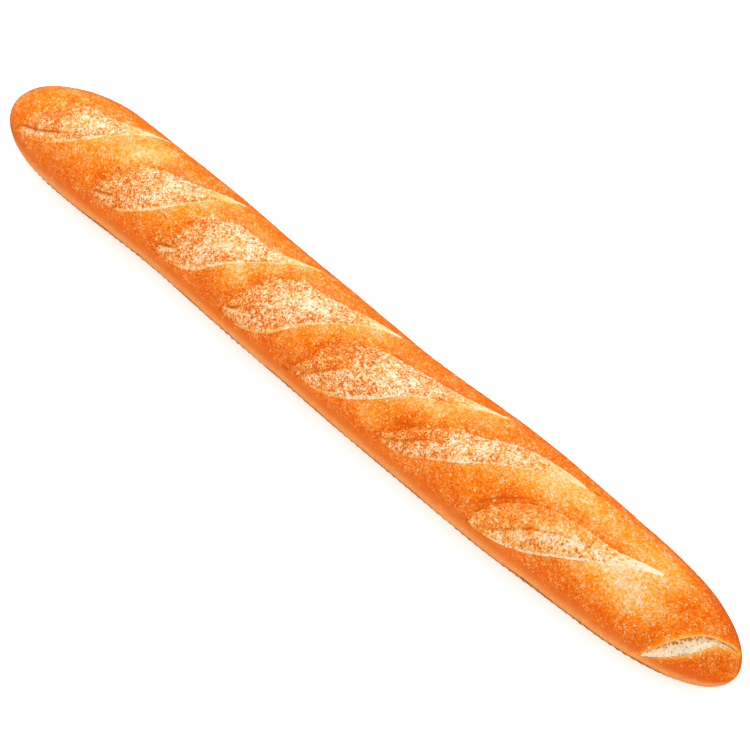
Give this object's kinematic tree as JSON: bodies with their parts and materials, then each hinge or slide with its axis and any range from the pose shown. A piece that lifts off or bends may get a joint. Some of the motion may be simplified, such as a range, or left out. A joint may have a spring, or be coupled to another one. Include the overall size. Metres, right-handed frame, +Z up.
{
  "type": "baguette",
  "caption": "Long slim loaf of crusty white bread with slanting opened scores across its crown, one blunt end and one tapered end, lying on a flat sole.",
  "frame": {"origin": "centre of the footprint, on the plane the loaf rests on", "axes": "+X along the loaf towards its tapered end, +Z up, +Y to the side the scores run towards"},
  "size_m": [0.6, 0.0738, 0.0535],
  "materials": {
    "crust": "baked bread crust, orange-brown and faintly glossy",
    "crumb": "torn cream-coloured crumb, matte, inside the opened scores"
  },
  "bodies": {
    "root": {"loaf": "crust"}
  },
  "joints": []
}
